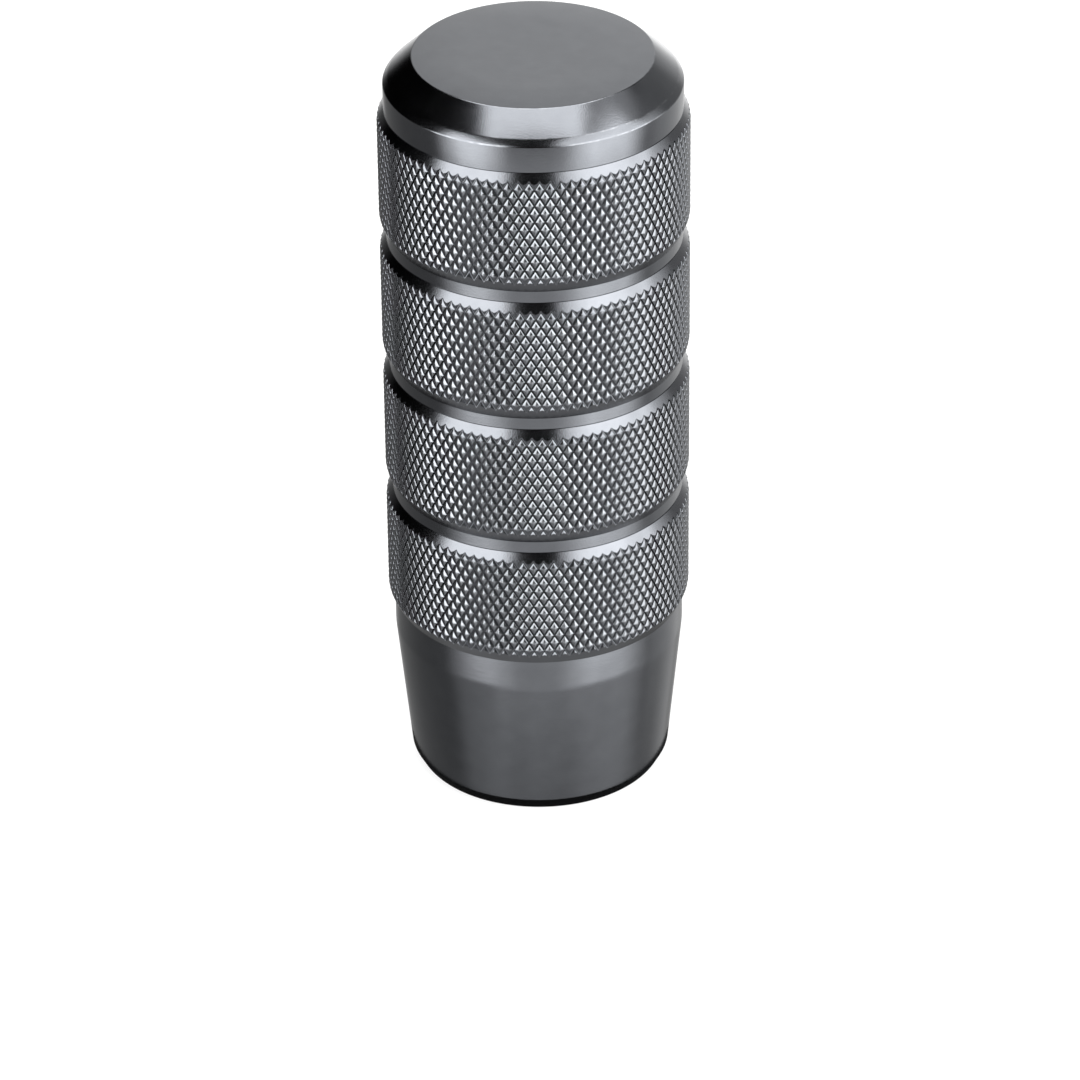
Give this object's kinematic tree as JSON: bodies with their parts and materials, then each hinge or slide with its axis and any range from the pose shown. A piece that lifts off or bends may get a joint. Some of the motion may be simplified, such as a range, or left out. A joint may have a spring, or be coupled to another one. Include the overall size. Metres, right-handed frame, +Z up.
{
  "type": "gear shift knob",
  "caption": "Cylindrical metal gear shift knob with knurled grip bands, bevelled flat top and tapered foot, with a threaded adapter for the gear lever in its base.",
  "frame": {"origin": "centre of the foot face that the knob stands on", "axes": "+Z up the knob's axis of symmetry, from the foot to the flat top; X and Y are alike"},
  "size_m": [0.035, 0.035, 0.0905],
  "materials": {
    "grey_aluminium": "turned and knurled, fine blasted and anodised gunmetal grey, satin",
    "black_aluminium": "turned and anodised black, satin"
  },
  "bodies": {
    "root": {"knob_body": "grey_aluminium", "thread_adapter": "black_aluminium"}
  },
  "joints": []
}
